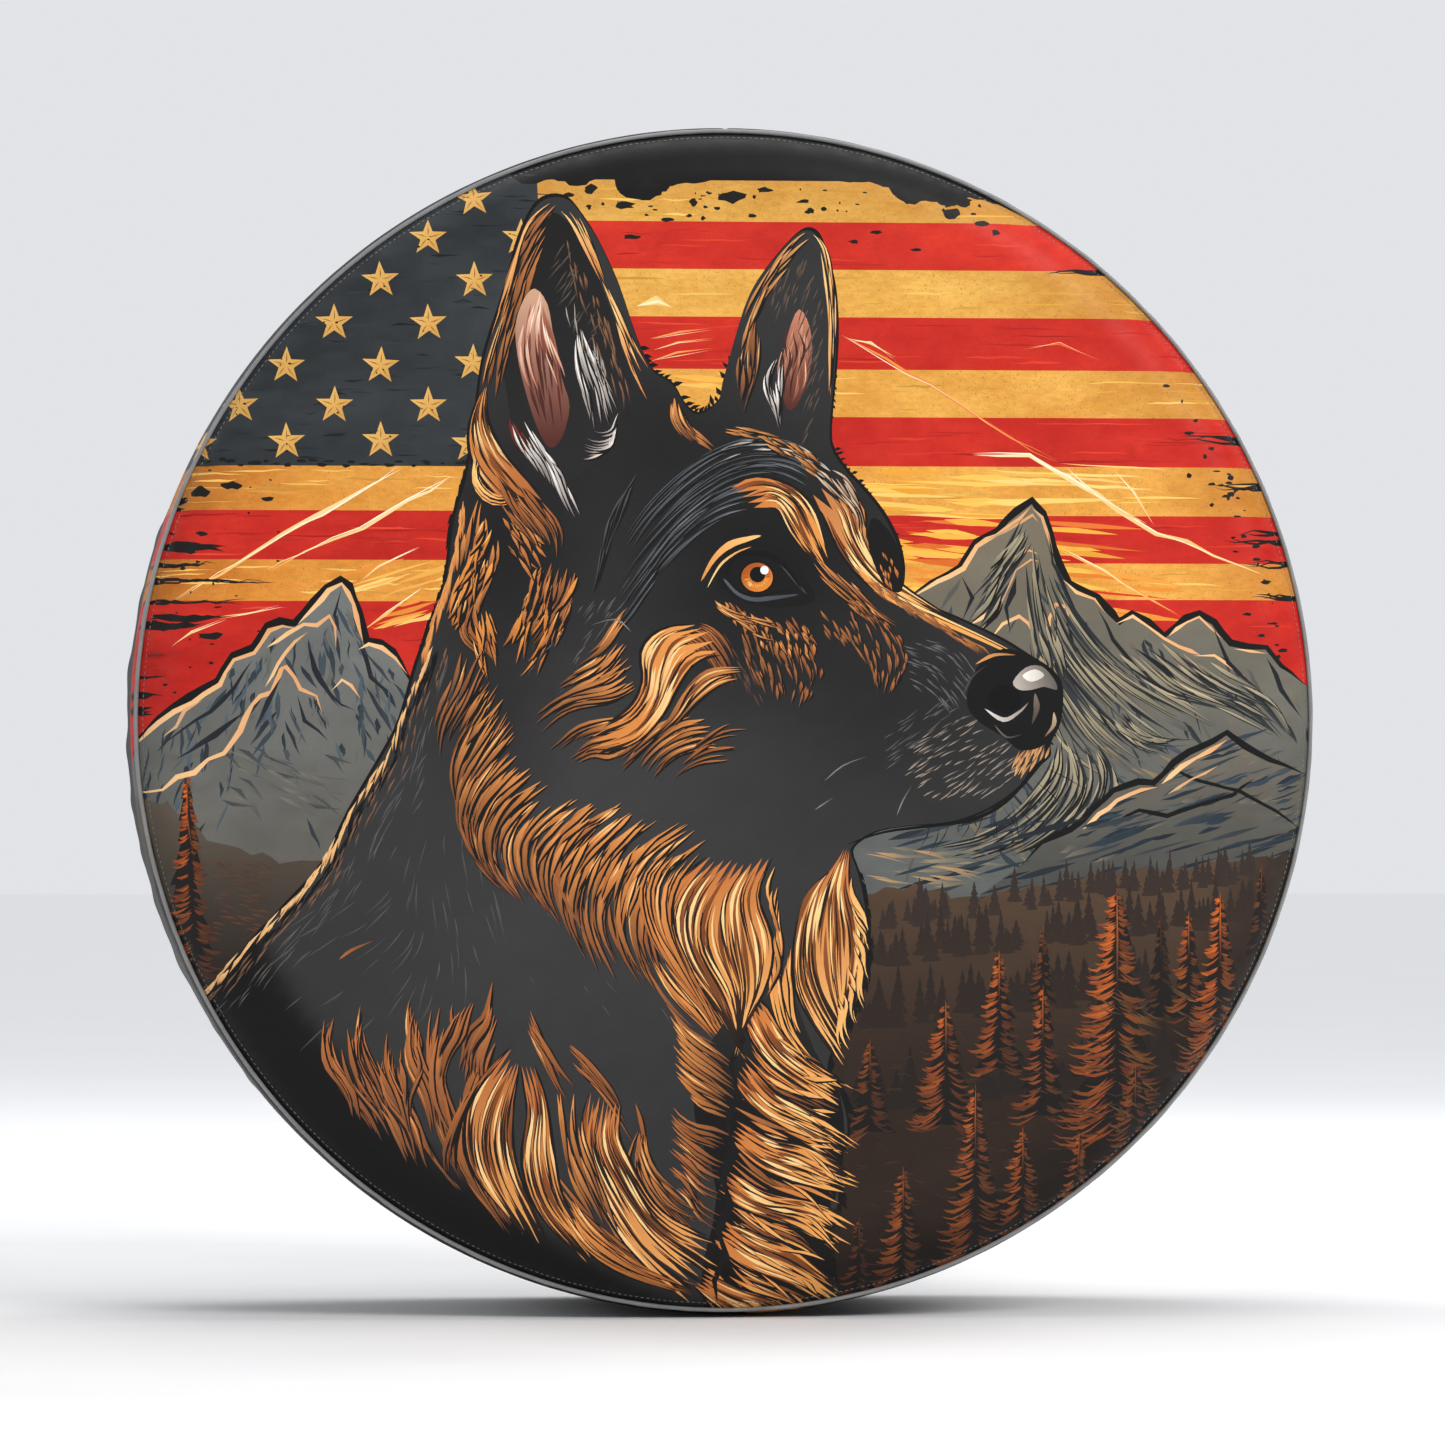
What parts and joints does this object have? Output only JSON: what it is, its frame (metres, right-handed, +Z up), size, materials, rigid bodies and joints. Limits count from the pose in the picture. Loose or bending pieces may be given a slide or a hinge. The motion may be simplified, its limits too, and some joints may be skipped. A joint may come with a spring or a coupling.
{
  "type": "spare tire cover",
  "caption": "Soft round cover for a spare tyre: printed face, piped seam, side band, elastic-cord hem and a sprung cord lock.",
  "frame": {"origin": "on the cover's axis, in the mid-plane of the tyre it holds", "axes": "+Z up as mounted, printed face looks along -Y, mouth opens along +Y, +X is to the right when facing the print"},
  "size_m": [0.8842, 0.3421, 0.8858],
  "materials": {
    "printed_leatherette": "printed coated cloth, fine grain, satin",
    "band_leatherette": "black coated cloth, fine grain, satin",
    "lining_fleece": "brushed grey fleece",
    "joint_tape": "woven tape",
    "stitching_thread": "twisted polyester thread",
    "piping_skin": "grey coated strip over a cord",
    "piping_core": "twisted filler cord",
    "edge_binding": "woven bias tape",
    "label_cloth": "blank woven label",
    "eyelet_metal": "nickel-plated sheet",
    "hem_tape": "ribbed casing tape",
    "braided_elastic": "braided jacket over rubber",
    "lock_plastic": "moulded acetal, fine texture",
    "button_plastic": "moulded acetal, polished",
    "spring_wire": "drawn steel wire"
  },
  "bodies": {
    "cover": {"face_panel": "printed_leatherette", "face_lining": "lining_fleece", "band_left": "band_leatherette", "band_right": "band_leatherette", "band_joint_tapes": "joint_tape", "band_joint_stitching": "stitching_thread", "piping_cover": "piping_skin", "piping_cord": "piping_core", "seam_binding": "edge_binding", "face_topstitching": "stitching_thread", "care_label": "label_cloth", "drain_eyelets": "eyelet_metal", "drain_washers": "eyelet_metal", "hem_casing": "hem_tape", "hem_stitching": "stitching_thread", "elastic_cord": "braided_elastic", "cord_exit_eyelet": "eyelet_metal", "cord_exit_washer": "eyelet_metal"},
    "cord": {"cord_tails": "braided_elastic", "cord_end_stop": "lock_plastic"},
    "lock": {"lock_barrel": "lock_plastic", "lock_spring": "spring_wire"},
    "button": {"lock_plunger": "button_plastic"}
  },
  "joints": [
    {"name": "cord_swing", "type": "hinge", "parent": "cover", "child": "cord", "pos_m": [0, 0.1646, 0.374], "axis": [0, 1, 0], "range_deg": [-55, 55]},
    {"name": "lock_slide", "type": "slide", "parent": "cord", "child": "lock", "axis": [0, 0, 1], "range_m": [-0.028, 0.02]},
    {"name": "button_press", "type": "slide", "parent": "lock", "child": "button", "axis": [0, -1, 0], "range_m": [0, 0.004], "stiffness_N_per_m": 900, "springref_m": -0.004, "deforming": ["lock_spring"]}
  ]
}
